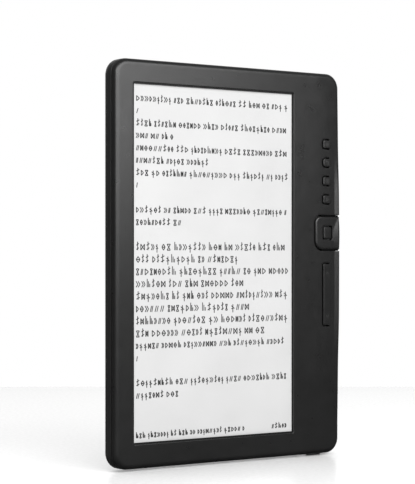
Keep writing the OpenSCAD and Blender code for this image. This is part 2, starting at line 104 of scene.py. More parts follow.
# Screen: the lit area, the panel's border beside it, and the black strip in the window
SCREEN_W = 85.92
SCREEN_H = 154.08
SCREEN_BORDER = 0.35
STRIP_W = 0.75
STRIP_D = 0.45
STRIP_SIDE = 0.4
PANEL_D = (PANEL_LOW.y - FRONT_Y) / MM
SCREEN_X = (PANEL_LOW.x + PANEL_HIGH.x) / 2 / MM
SCREEN_Z = 88.4
WINDOW_LEFT = SCREEN_X - SCREEN_W / 2 - STRIP_W - STRIP_SIDE
WINDOW_RIGHT = SCREEN_X + SCREEN_W / 2 + SCREEN_BORDER
WINDOW_H = SCREEN_H + 2 * STRIP_W

# The face rolls back towards the keys' side, up to a crease. Beyond the crease a lens-shaped rim rises
# again, widest at mid height, where the edge is crisper.
ROLL_FROM = 47.5
ROLL_BEND = 0.0048
CREASE_X = 58.9
RIM_MIDDLE = 91.6
RIM_LOW = 38.6
RIM_HIGH = 144.6
RIM_FADE = 26.0
RIM_RISE = 0.15
RIM_EDGE_R = 1.0
EDGE_SPAN = 76.0

# The back's curve: where it starts, how far in it levels out, and how its corners widen inwards
BACK_START = 6.9
BACK_REACH = 20.0
BACK_WIDEN = 0.55


def to_row(x, d, z):
    """A point of the body's own measure, in metres in the frame."""
    return Vector((x * MM, FRONT_Y + d * MM, BASE_Z + z * MM))


def add_object(name, data):
    """A new object, linked to the scene."""
    made = bpy.data.objects.new(name, data)
    bpy.context.scene.collection.objects.link(made)
    return made


# ---------- materials ----------


class Nodes:
    """A short way to add nodes to a material and link them."""

    def __init__(self, name):
        self.material = bpy.data.materials.new(name)
        self.material.use_nodes = True
        self.tree = self.material.node_tree
        self.shader = self.tree.nodes["Principled BSDF"]
        self.coords = self.add("ShaderNodeTexCoord").outputs["Object"]

    def add(self, kind, **values):
        node = self.tree.nodes.new(kind)
        for key, value in values.items():
            setattr(node, key, value)
        return node

    def link(self, source, target):
        self.tree.links.new(source, target)

    def noise(self, size_mm, detail=3.0, stretch=(1, 1, 1)):
        """Noise whose features are about size_mm across, from 0 to 1."""
        mapping = self.add("ShaderNodeMapping")
        mapping.inputs["Scale"].default_value = [s / (size_mm * MM) for s in stretch]
        self.link(self.coords, mapping.inputs["Vector"])
        node = self.add("ShaderNodeTexNoise")
        node.inputs["Scale"].default_value = 1.0
        node.inputs["Detail"].default_value = detail
        self.link(mapping.outputs["Vector"], node.inputs["Vector"])
        return node.outputs["Fac"]

    def ramp(self, value, low, high, start=0.3, end=0.7):
        """A colour that runs from low to high as value runs from start to end."""
        node = self.add("ShaderNodeValToRGB")
        node.color_ramp.elements[0].position = start
        node.color_ramp.elements[1].position = end
        node.color_ramp.elements[0].color = (*low, 1)
        node.color_ramp.elements[1].color = (*high, 1)
        self.link(value, node.inputs["Fac"])
        return node.outputs["Color"]

    def spread(self, value, low, high):
        """A number that runs from low to high over the middle of a noise's range."""
        node = self.add("ShaderNodeMapRange")
        node.inputs["From Min"].default_value = 0.3
        node.inputs["From Max"].default_value = 0.7
        node.inputs["To Min"].default_value = low
        node.inputs["To Max"].default_value = high
        self.link(value, node.inputs["Value"])
        return node.outputs["Result"]

    def math(self, operation, a, b):
        """One sum of two values, each a number or a socket."""
        node = self.add("ShaderNodeMath", operation=operation)
        for socket, value in zip(node.inputs, (a, b)):
            if isinstance(value, (int, float)):
                socket.default_value = value
            else:
                self.link(value, socket)
        return node.outputs["Value"]

    def surface(self, colour, rough):
        """Sets the shader's colour and roughness."""
        self.link(colour, self.shader.inputs["Base Color"])
        self.link(rough, self.shader.inputs["Roughness"])

    def bump(self, value, height_mm):
        """Relief of this height in the surface."""
        node = self.add("ShaderNodeBump")
        node.inputs["Distance"].default_value = height_mm * MM
        self.link(value, node.inputs["Height"])
        self.link(node.outputs["Normal"], self.shader.inputs["Normal"])


def tone(grey, tint=(1, 1, 1)):
    """A grey as a colour, tinted."""
    return tuple(grey * t for t in tint)


def moulded(name, grey, rough, grain_mm=0.22, depth_mm=0.012, tint=(1, 1, 1), specular=0.5):
    """Fine-grained moulded plastic, with faint handling marks in its sheen."""
    n = Nodes(name)
    patches = n.ramp(n.noise(22, 4), tone(grey * 0.88, tint), tone(grey * 1.14, tint))
    n.surface(patches, n.spread(n.noise(6, 5), rough - 0.03, rough + 0.03))
    n.bump(n.noise(grain_mm, 2), depth_mm)
    n.shader.inputs["Specular IOR Level"].default_value = specular
    return n.material


def metal(name, grey, rough, along=(1, 1, 1), tint=(1, 1, 1), size_mm=0.4):
    """Drawn or rolled metal, its brushing stretched along one axis."""
    n = Nodes(name)
    lines = n.noise(size_mm, 3, along)
    brushed = n.ramp(lines, tone(grey * 0.82, tint), tone(grey, tint))
    n.surface(brushed, n.spread(n.noise(3, 3), rough - 0.08, rough + 0.08))
    n.shader.inputs["Metallic"].default_value = 1.0
    n.bump(lines, 0.01)
    return n.material


def soft(name, colour, rough=0.75, size_mm=0.35, depth_mm=0.03, specular=0.5):
    """Rubber, foam or sleeve: dull, with a coarse surface."""
    n = Nodes(name)
    low = tuple(c * 0.75 for c in colour)
    high = tuple(min(1, c * 1.2) for c in colour)
    patches = n.ramp(n.noise(3, 4), low, high)
    n.surface(patches, n.spread(n.noise(1.5, 3), rough - 0.08, rough + 0.08))
    n.bump(n.noise(size_mm, 2), depth_mm)
    n.shader.inputs["Specular IOR Level"].default_value = specular
    return n.material


def circuit_board(name):
    """Green solder mask over copper tracks."""
    n = Nodes(name)
    brick = n.add("ShaderNodeTexBrick", offset=0.35, squash=0.6)
    mapping = n.add("ShaderNodeMapping")
    mapping.inputs["Rotation"].default_value = (math.radians(90), 0, 0)
    n.link(n.coords, mapping.inputs["Vector"])
    n.link(mapping.outputs["Vector"], brick.inputs["Vector"])
    brick.inputs["Scale"].default_value = 1 / (6 * MM)
    brick.inputs["Mortar Size"].default_value = 0.035
    brick.inputs["Color1"].default_value = (0.008, 0.07, 0.03, 1)
    brick.inputs["Color2"].default_value = (0.01, 0.09, 0.035, 1)
    brick.inputs["Mortar"].default_value = (0.03, 0.17, 0.07, 1)
    n.surface(brick.outputs["Color"], n.spread(n.noise(4, 3), 0.28, 0.4))
    n.bump(brick.outputs["Fac"], 0.03)
    return n.material


PAGE_GLOW = 0.21


def within_page(n):
    """1 inside the display's lit area and 0 outside it."""
    split = n.add("ShaderNodeSeparateXYZ")
    n.link(n.coords, split.inputs["Vector"])
    centre = to_row(SCREEN_X, 0, SCREEN_Z)
    within = []
    for axis, middle, half in (("X", centre.x, SCREEN_W / 2), ("Z", centre.z, SCREEN_H / 2)):
        offset = n.math("ABSOLUTE", n.math("SUBTRACT", split.outputs[axis], middle), 0)
        within.append(n.math("LESS_THAN", offset, half * MM))
    return n.math("MULTIPLY", *within)


def screen_page(name):
    """The lit page of the display, with the panel's black border round it."""
    n = Nodes(name)
    inside = within_page(n)
    page = n.ramp(n.noise(30, 2), tone(0.30), tone(0.33))
    mix = n.add("ShaderNodeMix", data_type="RGBA")
    mix.inputs["A"].default_value = (0.004, 0.004, 0.004, 1)
    n.link(inside, mix.inputs["Factor"])
    n.link(page, mix.inputs["B"])
    n.link(mix.outputs["Result"], n.shader.inputs["Base Color"])
    light = n.add("ShaderNodeMix", data_type="RGBA")
    light.inputs["A"].default_value = (0, 0, 0, 1)
    n.link(inside, light.inputs["Factor"])
    n.link(n.ramp(n.noise(60, 1), tone(0.97), tone(1.0)), light.inputs["B"])
    n.link(light.outputs["Result"], n.shader.inputs["Emission Color"])
    n.shader.inputs["Emission Strength"].default_value = PAGE_GLOW
    n.link(n.spread(n.noise(0.3, 2), 0.42, 0.5), n.shader.inputs["Roughness"])
    n.bump(n.noise(0.12, 1), 0.004)
    return n.material


def woven(name, grey):
    """Fine woven dust mesh."""
    n = Nodes(name)
    waves = []
    for axis in ("X", "Z"):
        wave = n.add("ShaderNodeTexWave", bands_direction=axis)
        wave.inputs["Scale"].default_value = 1 / (1.6 * MM)
        n.link(n.coords, wave.inputs["Vector"])
        waves.append(wave.outputs["Fac"])
    weave = n.math("MULTIPLY", waves[0], waves[1])
    n.surface(n.ramp(weave, tone(grey * 0.3), tone(grey)), n.spread(n.noise(2), 0.6, 0.8))
    n.bump(weave, 0.05)
    return n.material


SHELL = moulded("shell_plastic", 0.007, 0.30)
FRAME_PLASTIC = moulded("frame_plastic", 0.010, 0.36, 0.18, 0.008)
COVER = moulded("cover_plastic", 0.010, 0.38)
KEYS = moulded("key_plastic", 0.007, 0.30, 0.16, 0.008)
POWER = moulded("power_plastic", 0.06, 0.36, 0.16, 0.008)
# The seal's rubber is real, but its near-black tone and near-zero specular are painted shade that makes the
# pad's gap read dark.
SEAL_AND_SHADE = soft("seal_rubber_painted_shade", tone(0.002), 0.9, specular=0.05)
STRIP = soft("strip_film", tone(0.003), 0.6, 0.3, 0.004, 0.3)
ICON = moulded("icon_ink", 0.035, 0.5, 0.1, 0.004)
INK = moulded("page_ink", 0.012, 0.6, 0.1, 0.002)
PAGE = screen_page("screen_page")

CAD_MATERIALS = {
    "housing_screws": metal("screw_steel", 0.55, 0.35),
    "nav_rubber": soft("grey_rubber", tone(0.07)),
    "screen_gasket": soft("gasket_foam", tone(0.012), 0.85),
    "speaker_foam": soft("speaker_foam", tone(0.012), 0.85),
    "display_rim": metal("rim_steel", 0.6, 0.3, (1, 1, 12)),
    "display_panel": PAGE,
    "light_guide": moulded("guide_acrylic", 0.75, 0.15, 1.0, 0.002, (0.95, 1, 1)),
    "led_strip": moulded("led_yellow", 0.7, 0.3, 0.3, 0.01, (1, 0.9, 0.5)),
    "backlight_tray": moulded("tray_white", 0.8, 0.5, 0.3, 0.01),
    "chassis_plate": metal("plate_aluminium", 0.62, 0.38, (14, 1, 1)),
    "display_flex": moulded("amber_film", 0.5, 0.3, 0.5, 0.004, (1, 0.55, 0.1)),
    "key_flex": moulded("amber_film_keys", 0.5, 0.3, 0.5, 0.004, (1, 0.55, 0.1)),
    "main_board": circuit_board("board_green"),
    "key_board": circuit_board("key_board_green"),
    "board_chips": moulded("chip_epoxy", 0.03, 0.55, 0.12, 0.01),
    "shield_can": metal("can_steel", 0.6, 0.3, (1, 1, 10)),
    "usb_socket": metal("socket_steel", 0.6, 0.28, (1, 1, 8)),
    "card_socket": metal("card_steel", 0.6, 0.3, (1, 1, 8)),
    "headphone_jack": moulded("jack_plastic", 0.02, 0.3, 0.2, 0.006),
    "power_switch": moulded("switch_plastic", 0.55, 0.4, 0.2, 0.01),
    "snap_domes": metal("dome_steel", 0.68, 0.2),
    "battery": metal("battery_foil", 0.6, 0.35, (1, 1, 6), (1, 1, 1.02), 1.5),
    "battery_tape": soft("tape_cream", (0.7, 0.67, 0.55), 0.8),
    "battery_leads": soft("battery_sleeve", (0.3, 0.02, 0.015), 0.5, 0.5, 0.01),
    "speaker_leads": soft("speaker_sleeve", (0.3, 0.02, 0.015), 0.5, 0.5, 0.01),
    "battery_plug": moulded("plug_white", 0.75, 0.45, 0.2, 0.01, (1, 1, 0.94)),
    "speaker": moulded("speaker_plastic", 0.03, 0.5, 0.2, 0.015),
    "speaker_mesh": woven("mesh_black", 0.03),
}

for node, chosen in CAD_MATERIALS.items():
    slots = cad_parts[node].data.materials
    slots.clear()
    slots.append(chosen)

# ---------- mesh helpers ----------


def quarter_turn(steps):
    """Angles from 0 to a right angle, in radians."""
    return [math.radians(90 * i / steps) for i in range(steps + 1)]


def rounded_loop(cx, cz, w, h, r, nx, nz, arc):
    """Points round a rounded rectangle, anticlockwise as seen from the front, from its upper right corner.
    nx and nz are the steps along its sides, and arc is the steps round each corner."""
    spans = [(1, 1, nx), (-1, 1, nz), (-1, -1, nx), (1, -1, nz)]
    arcs = []
    for quarter, (sx, sz, _) in enumerate(spans):
        x, z = cx + sx * (w / 2 - r), cz + sz * (h / 2 - r)
        angles = [math.radians(90 * quarter + 90 * i / arc) for i in range(arc + 1)]
        arcs.append([(x + r * math.cos(a), z + r * math.sin(a)) for a in angles])
    points = []
    for quarter, (_, _, count) in enumerate(spans):
        points += arcs[quarter]
        start, end = arcs[quarter][-1], arcs[(quarter + 1) % 4][0]
        for i in range(1, count):
            t = i / count
            points.append((start[0] + (end[0] - start[0]) * t, start[1] + (end[1] - start[1]) * t))
    return points


def is_inside(x, z, loop):
    """Whether a point lies inside a closed loop of points."""
    crossings = 0
    for (x0, z0), (x1, z1) in zip(loop, loop[1:] + loop[:1]):
        if (z0 > z) != (z1 > z) and x < x0 + (z - z0) / (z1 - z0) * (x1 - x0):
            crossings += 1
    return crossings % 2 == 1


class Shape:
    """Vertices and faces gathered in the body's own measure, then made into one object."""

    def __init__(self):
        self.vertices = []
        self.faces = []

    def ring(self, points):
        """Adds points (x, d, z) and returns their numbers."""
        start = len(self.vertices)
        self.vertices += points
        return list(range(start, len(self.vertices)))

    def bridge(self, a, b, closed=True):
        """Quads between two rings of equal count."""
        count = len(a)
        for i in range(count if closed else count - 1):
            j = (i + 1) % count
            self.faces.append((a[i], a[j], b[j], b[i]))

    def loft(self, rings):
        """Joins rings of points one after the other, and returns the first and last ring's numbers."""
        numbers = [self.ring(points) for points in rings]
        for a, b in zip(numbers, numbers[1:]):
            self.bridge(a, b)
        return numbers[0], numbers[-1]

    def cap(self, ring):
        """One face over a ring."""
        self.faces.append(tuple(ring))

    def solid(self, rings):
        """Joins rings one after the other and closes both ends."""
        first, last = self.loft(rings)
        self.cap(first)
        self.cap(last)

    def fill(self, outer, holes, extra, depth):
        """Triangles between an outer loop and the holes in it, over extra points inside.
        Loops are given by their points' numbers; depth is a function of x and z for the new points."""
        loops = [outer] + holes
        numbers = [i for loop in loops for i in loop]
        flat = [Vector((self.vertices[i][0], self.vertices[i][2])) for i in numbers]
        edges = []
        start = 0
        for loop in loops:
            count = len(loop)
            edges += [(start + i, start + (i + 1) % count) for i in range(count)]
            start += count
        flat += [Vector(p) for p in extra]
        points, _, triangles, sources, _, _ = delaunay_2d_cdt(flat, edges, [], 1, 1e-6)
        known = []
        for point, source in zip(points, sources):
            if source and source[0] < len(numbers):
                known.append(numbers[source[0]])
            else:
                self.vertices.append((point.x, depth(point.x, point.y), point.y))
                known.append(len(self.vertices) - 1)
        gaps = [[(self.vertices[i][0], self.vertices[i][2]) for i in loop] for loop in holes]
        for triangle in triangles:
            x = sum(points[i].x for i in triangle) / 3
            z = sum(points[i].y for i in triangle) / 3
            if not any(is_inside(x, z, gap) for gap in gaps):
                self.faces.append(tuple(known[i] for i in triangle))

    def build(self, name, material):
        """The object made of all faces so far."""
        mesh = bpy.data.meshes.new(name)
        mesh.from_pydata([to_row(*v) for v in self.vertices], [], self.faces)
        mesh.materials.append(material)
        piece = add_object(name, mesh)
        tidy(piece)
        return piece


def solid_piece(name, rings, material):
    """One object lofted through the rings and closed at both ends."""
    shape = Shape()
    shape.solid(rings)
    return shape.build(name, material)


SHARP = math.radians(35)
WELD = 2e-6
SLIVER = 1e-5


def tidy(piece):
    """Welds, takes out slivers, turns all faces outwards, and shades smooth but for sharp edges."""
    bm = bmesh.new()
    bm.from_mesh(piece.data)
    bmesh.ops.remove_doubles(bm, verts=bm.verts, dist=WELD)
    bmesh.ops.dissolve_degenerate(bm, dist=SLIVER, edges=bm.edges)
    bmesh.ops.recalc_face_normals(bm, faces=bm.faces)
    for face in bm.faces:
        face.smooth = True
    for edge in bm.edges:
        if edge.is_manifold:
            edge.smooth = edge.calc_face_angle(0) < SHARP
    bm.to_mesh(piece.data)
    bm.free()


def level_normals(piece):
    """Lets large flat faces rule the shading, so that small roundings beside them don't smear over them."""
    modifier = piece.modifiers.new("level", "WEIGHTED_NORMAL")
    modifier.weight = 90
    modifier.keep_sharp = True
    bpy.context.view_layer.objects.active = piece
    bpy.ops.object.modifier_apply(modifier=modifier.name)


def cut(piece, cutters):
    """Takes the cutters out of a piece, then removes them."""
    for cutter in cutters:
        modifier = piece.modifiers.new("cut", "BOOLEAN")
        modifier.operation = "DIFFERENCE"
        modifier.solver = "EXACT"
        modifier.object = cutter
        bpy.context.view_layer.objects.active = piece
        bpy.ops.object.modifier_apply(modifier=modifier.name)
    for cutter in cutters:
        bpy.data.objects.remove(cutter)
    tidy(piece)


def smooth_step(value):
    """0 below 0 and 1 above 1, with a soft run between."""
    t = min(max(value, 0), 1)
    return t * t * (3 - 2 * t)


def inside_points(x0, x1, z0, z1, step, keep):
    """A grid of points no further apart than step, where keep says so."""
    nx = max(1, math.ceil((x1 - x0) / step))
    nz = max(1, math.ceil((z1 - z0) / step))
    grid = [
        (x0 + (x1 - x0) * i / nx, z0 + (z1 - z0) * j / nz)
        for i in range(1, nx)
        for j in range(1, nz)
    ]
    return [p for p in grid if keep(*p)]


def outside_rect(x, z, cx, cz, w, h, clear):
    """Whether a point lies more than clear outside a rectangle."""
    return abs(x - cx) > w / 2 + clear or abs(z - cz) > h / 2 + clear


# ---------- places of the keys ----------


def cap_of(node):
    """Middle x and z, width and height of a key's cap, which the CAD node's flange surrounds."""
    low, high = mm_box(node)
    return (
        (low.x + high.x) / 2,
        (low.z + high.z) / 2,
        high.x - low.x - 2 * FLANGE,
        high.z - low.z - 2 * FLANGE,
    )


# The four function keys, from the top down, and the rocker; the second key is rounder than the others
KEY_NODES = [f"function_key_{i}" for i in range(1, 5)]
KEY_CAPS = {node: cap_of(node) for node in KEY_NODES + ["page_rocker"]}
KEY_CORNER = {node: 0.7 for node in KEY_NODES}
KEY_CORNER["function_key_2"] = 1.25
KEY_CORNER["page_rocker"] = 0.5
PAD_LOW, PAD_HIGH = mm_box("direction_pad")
PAD_LEFT = PAD_LOW.x + FLANGE
PAD_Z = (PAD_LOW.z + PAD_HIGH.z) / 2
PAD_H = PAD_HIGH.z - PAD_LOW.z - 2 * FLANGE
PAD_RIGHT = PAD_HIGH.x
OK_LOW, OK_HIGH = mm_box("centre_button")
OK_X = (OK_LOW.x + OK_HIGH.x) / 2
OK_Z = (OK_LOW.z + OK_HIGH.z) / 2
OK_W = OK_HIGH.x - OK_LOW.x
OK_H = OK_HIGH.z - OK_LOW.z


# ---------- front shell ----------


def roll(x):
    """How far the face has rolled back at x, towards the keys' side."""
    return ROLL_BEND / 2 * max(0, x - ROLL_FROM) ** 2


def rim_share(z):
    """How far the rim beside the keys has grown at height z, from 0 to 1."""
    return smooth_step((z - RIM_LOW) / RIM_FADE) * smooth_step((RIM_HIGH - z) / RIM_FADE)


def surface_depth(x, z):
    """Depth of the front surface without its rounded edge."""
    if x <= CREASE_X:
        return roll(x)
    rim = roll(CREASE_X) - (x - CREASE_X) * RIM_RISE
    return roll(x) + (rim - roll(x)) * rim_share(z)


def edge_radius(x, z):
    """Radius of the front edge, which is crisper at mid height on the keys' side."""
    if x < 0:
        return EDGE_R
    share = min(1, ((z - RIM_MIDDLE) / EDGE_SPAN) ** 2)
    return RIM_EDGE_R + (EDGE_R - RIM_EDGE_R) * share


def face_depth(x, z, inset=HALF):
    """Depth of the front surface, at an inset from the outline; well inside it unless one is given."""
    r = edge_radius(x, z) if HALF - x <= inset + 0.01 else EDGE_R
    lean = r - min(inset, r)
    edge = r - math.sqrt(max(r**2 - lean**2, 0))
    base = surface_depth(x, z)
    return base + edge * (1 - base / EDGE_R)


def body_ring(inset, depth, corner=None, nx=60, nz=120, arc=14):
    """A ring round the body at an inset; depth is a number, or a function of x, z."""
    radius = CORNER_R - inset if corner is None else corner
    loop = rounded_loop(0, H / 2, W - 2 * inset, H - 2 * inset, radius, nx, nz, arc)
    if callable(depth):
        return [(x, depth(x, z), z) for x, z in loop]
    return [(x, depth, z) for x, z in loop]


def add_opening(shape, cx, cz, w, h, r, lip, top, floor, nx=8, nz=8, arc=5):
    """Rolls the surface into an opening and takes its wall to the floor depth.
    Returns the ring that joins the face and the ring at the floor."""
    rings = []
    for a in quarter_turn(4):
        grow = lip * (1 - math.sin(a))
        loop = rounded_loop(cx, cz, w + 2 * grow, h + 2 * grow, r + grow, nx, nz, arc)
        rings.append([(x, top(x, z) + lip * (1 - math.cos(a)), z) for x, z in loop])
    loop = rounded_loop(cx, cz, w, h, r, nx, nz, arc)
    rings.append([(x, floor, z) for x, z in loop])
    return shape.loft(rings)


# Insets of the rings round the face: over the rounded edge, past the crease, and on to where triangles
# take over. The triangles are coarse where the face is flat and fine where it rolls back.
FACE_INSET = 6.4
FACE_INSETS = [EDGE_R * (1 - math.cos(math.radians(a))) for a in range(14, 91, 6)]
FACE_INSETS += [2.7, 2.9, HALF - CREASE_X, 3.3, 3.8, 4.6, 5.5, FACE_INSET]
FINE_FROM = ROLL_FROM - 8
FINE_STEP = 0.9
COARSE_STEP = 5
WINDOW_R = 0.9


def shell_rings():
    """Rings from the seam's groove over the rounded edge to the face."""
    rings = [
        body_ring(GROOVE_D, SEAM_FRONT),
        body_ring(GROOVE_D, EDGE_R),
        body_ring(0.1, EDGE_R),
        body_ring(0.02, EDGE_R - 0.03),
    ]
    for inset in FACE_INSETS:
        rings.append(body_ring(inset, lambda x, z, u=inset: face_depth(x, z, u)))
    return rings


def shell_openings():
    """Middle, size, corner radius, lip and steps of the window and of each key's opening."""
    window = ((WINDOW_LEFT + WINDOW_RIGHT) / 2, SCREEN_Z, WINDOW_RIGHT - WINDOW_LEFT, WINDOW_H)
    openings = [(*window, WINDOW_R, WINDOW_LIP, 24, 40)]
    for node, (cx, cz, w, h) in KEY_CAPS.items():
        size = (cx, cz, w + 2 * KEY_GAP, h + 2 * KEY_GAP)
        steps = (8, 20 if node == "page_rocker" else 6)
        openings.append((*size, KEY_CORNER[node] + KEY_GAP, KEY_LIP, *steps))
    return openings


def front_shell():
    """The front moulding: its face with the openings, its rounded edge, and its inner wall."""
    shape = Shape()
    seam, face_edge = shape.loft(shell_rings())
    inner_wall, inner_edge = shape.loft([body_ring(WALL, SEAM_FRONT), body_ring(WALL, INNER_D)])
    shape.bridge(seam, inner_wall)
    openings = shell_openings()
    tops, floors = [], []
    for cx, cz, w, h, r, lip, nx, nz in openings:
        top, floor = add_opening(shape, cx, cz, w, h, r, lip, face_depth, INNER_D, nx, nz)
        tops.append(top)
        floors.append(floor)

    def clear(x, z):
        return all(outside_rect(x, z, cx, cz, w, h, 0.5) for cx, cz, w, h, *_ in openings)

    low, high = FACE_INSET, H - FACE_INSET
    points = inside_points(-HALF + FACE_INSET, FINE_FROM, low, high, COARSE_STEP, clear)
    points += inside_points(FINE_FROM, HALF - FACE_INSET, low, high, FINE_STEP, clear)
    shape.fill(face_edge, tops, points, face_depth)
    shape.fill(inner_edge, floors, [], lambda x, z: INNER_D)
    piece = shape.build("front_shell_moulding", SHELL)
    cut(piece, [pad_cutter(), jack_cutter()])
    level_normals(piece)
    return piece


def screen_strip():
    """The black strip in the window, along the page's left, top and bottom."""
    gap = 0.01
    left, right = WINDOW_LEFT + gap, WINDOW_RIGHT - gap
    page_left = WINDOW_LEFT + STRIP_W
    outer, inner = WINDOW_H / 2 - gap, SCREEN_H / 2
    outline = [(left, outer), (right, outer), (right, inner), (page_left, inner)]
    outline += [(x, -z) for x, z in reversed(outline)]
    rings = [[(x, d, SCREEN_Z + z) for x, z in outline] for d in (STRIP_D, PANEL_D - gap)]
    return solid_piece("screen_strip", rings, STRIP)


PAD_R_LOW = 4.0
PAD_R_HIGH = 3.0


def pad_loop(grow, right, nz=14, nx=10, arc=8):
    """Outline of the direction pad: rounded at its left, square at its right, grown by grow."""
    left = PAD_LEFT - grow
    low, high = PAD_Z - PAD_H / 2 - grow, PAD_Z + PAD_H / 2 + grow
    r_low, r_high = PAD_R_LOW + grow, PAD_R_HIGH + grow
    points = [(right, high - (high - low) * i / nz) for i in range(nz, 0, -1)]
    points += [(right + (left + r_high - right) * i / nx, high) for i in range(nx)]
    for start, cz, r in ((90, high - r_high, r_high), (180, low + r_low, r_low)):
        for i in range(arc + 1):
            a = math.radians(start + 90 * i / arc)
            points.append((left + r + r * math.cos(a), cz + r * math.sin(a)))
    points += [(left + r_low + (right - left - r_low) * i / nx, low) for i in range(1, nx)]
    return points


def pad_cutter():
    """A flared plug that opens the shell round the direction pad."""
    right = HALF + 3
    rings = [[(x, -2, z) for x, z in pad_loop(PAD_GAP + PAD_LIP, right)]]
    for a in quarter_turn(4):
        loop = pad_loop(PAD_GAP + PAD_LIP * (1 - math.sin(a)), right)
        sink = PAD_LIP * (1 - math.cos(a))
        rings.append([(x, face_depth(min(x, HALF), z) + sink, z) for x, z in loop])
    rings.append([(x, SEAM_FRONT + 1, z) for x, z in pad_loop(PAD_GAP, right)])
    return solid_piece("pad_cutter", rings, SHELL)


JACK_R = 2.45
JACK_TOP = 2.6


def jack_cutter():
    """A cylinder along z that opens the bottom edge for the headphone jack."""
    low, high = mm_box("headphone_jack")
    x, d = (low.x + high.x) / 2, (low.y + high.y) / 2
    count = 40
    angles = [2 * math.pi * i / count for i in range(count)]
    circle = [(x + JACK_R * math.cos(a), d + JACK_R * math.sin(a)) for a in angles]
    return solid_piece("jack_cutter", [[(*p, z) for p in circle] for z in (-3, JACK_TOP)], SHELL)


def edge_cutter(x0, x1, d0, d1):
    """A box that opens the bottom edge."""
    rings = [[(x0, d0, z), (x1, d0, z), (x1, d1, z), (x0, d1, z)] for z in (-1, 3)]
    return solid_piece("edge_cutter", rings, SHELL)


# ---------- frame and back cover ----------


BACK_GROOVE_W = 0.2
BACK_GROOVE_D = 0.25
POWER_FLANGE = 1.0


def mid_band():
    """The frame's band round the side, with a fine groove at its back, open at the bottom for the ports."""
    profile = [(WALL, SEAM_FRONT)]
    for a in quarter_turn(4):
        profile.append((SEAM_LIP * (1 - math.sin(a)), SEAM_FRONT + SEAM_LIP * (1 - math.cos(a))))
    back = SEAM_BACK - BACK_GROOVE_W
    for a in quarter_turn(4):
        profile.append((SEAM_LIP * (1 - math.cos(a)), back - SEAM_LIP * (1 - math.sin(a))))
    profile += [(BACK_GROOVE_D, back), (BACK_GROOVE_D, SEAM_BACK), (WALL, SEAM_BACK)]
    shape = Shape()
    first, last = shape.loft([body_ring(u, d) for u, d in profile])
    shape.bridge(last, first)
    piece = shape.build("mid_frame_band", FRAME_PLASTIC)
    usb_low, usb_high = mm_box("usb_socket")
    card_low, card_high = mm_box("card_socket")
    power_low, power_high = mm_box("power_button")
    power_side = POWER_FLANGE - KEY_GAP
    beyond = SEAM_BACK + 0.3
    cut(piece, [
        jack_cutter(),
        edge_cutter(usb_low.x - 0.25, usb_high.x + 0.25, usb_low.y - 0.2, beyond),
        edge_cutter(card_low.x + 0.7, card_high.x - 0.7, card_low.y, beyond),
        edge_cutter(power_low.x + power_side, power_high.x - power_side, power_low.y - KEY_GAP, beyond),
    ])
    return piece


def back_curve(inset):
    """Depth of the back's outside where it is inset from the outline."""
    s = 1 - min(inset, BACK_REACH) / BACK_REACH
    return BACK_START + (BACK_DEPTH - BACK_START) * (1 - s * s) ** 0.33


# The ridge of the grip: where it rises across the back, how it swings inwards towards its two ends, and
# over what lengths the grip fades out at the ends and at the side
RIDGE_FOOT = 36.2
RIDGE_TOP = 39.8
RIDGE_END = 9.0
RIDGE_CURL = 15.0
RIDGE_SWING = 5.5
FOOT_SWING = 0.55
GRIP_END = 3.0
GRIP_END_FADE = 20.0
GRIP_SIDE_FADE = 9.0


def grip(x, z):
    """How much thicker the grip behind the keys is at a place on the back."""
    end = min(z, H - z)
    curl = max(0.0, 1 - (end - RIDGE_END) / RIDGE_CURL)
    swing = RIDGE_SWING * (1 - math.sqrt(max(0.0, 1 - min(curl, 1) ** 2)))
    foot, top = RIDGE_FOOT - swing * FOOT_SWING, RIDGE_TOP - swing
    rise = smooth_step((x - foot) / max(top - foot, 0.4))
    fade_end = smooth_step((end - GRIP_END) / GRIP_END_FADE)
    fade_side = smooth_step((HALF - x) / GRIP_SIDE_FADE)
    return GRIP_RISE * rise * fade_end * fade_side


# Insets of the rings on the back's outside: close together at its edge, then evenly over the ridge
BACK_INSETS = [0, 0.01, 0.04, 0.1, 0.2, 0.35, 0.55, 0.8, 1.1, 1.5, 2, 2.6, 3.3, 4.1, 5, 6, 7, 8]
BACK_INSETS += [9.2, 10.5, 12, 13.5, 15, 16.5, 18]
BACK_INSETS += [19 + 0.5 * i for i in range(24)]
BACK_STEPS = {"nx": 80, "nz": 170, "arc": 24}
GRIP_BLEND = 4.0
SLOT_W = 2.2
SLOT_H = 15.7


def back_rings():
    """Rings over the back's outside, from the seam inwards."""
    rings = [
        body_ring(COVER_LIP, SEAM_BACK, CORNER_R, **BACK_STEPS),
        body_ring(0, SEAM_BACK + COVER_LIP, CORNER_R, **BACK_STEPS),
    ]
    for inset in BACK_INSETS:
        def depth(x, z, u=inset):
            return back_curve(u) + grip(x, z) * smooth_step(u / GRIP_BLEND)
        rings.append(body_ring(inset, depth, CORNER_R + BACK_WIDEN * inset, **BACK_STEPS))
    return rings


def back_cover():
    """The pillowed back with the thicker grip behind the keys, and its inside."""
    shape = Shape()
    seam, rim = shape.loft(back_rings())
    inset = BACK_INSETS[-1] + 0.5
    points = inside_points(-HALF + inset, HALF - inset, inset, H - inset, 3, lambda x, z: True)
    shape.fill(rim, [], points, lambda x, z: BACK_DEPTH + grip(x, z))
    inner_depth = mm_box("speaker_mesh")[1].y
    inner_profile = [(1.9, SEAM_BACK), (1.9, 7.4), (2.6, 8.0), (5.5, 8.8), (8, 9.1), (12, inner_depth)]
    inner_rings = [body_ring(u, d, max(CORNER_R - u, 1.5), **BACK_STEPS) for u, d in inner_profile]
    wall, inner_rim = shape.loft(inner_rings)
    shape.bridge(seam, wall)
    shape.fill(inner_rim, [], [], lambda x, z: inner_depth)
    piece = shape.build("back_cover_shell", COVER)
    cut(piece, [slot_cutter(), jack_cutter()])
    return piece


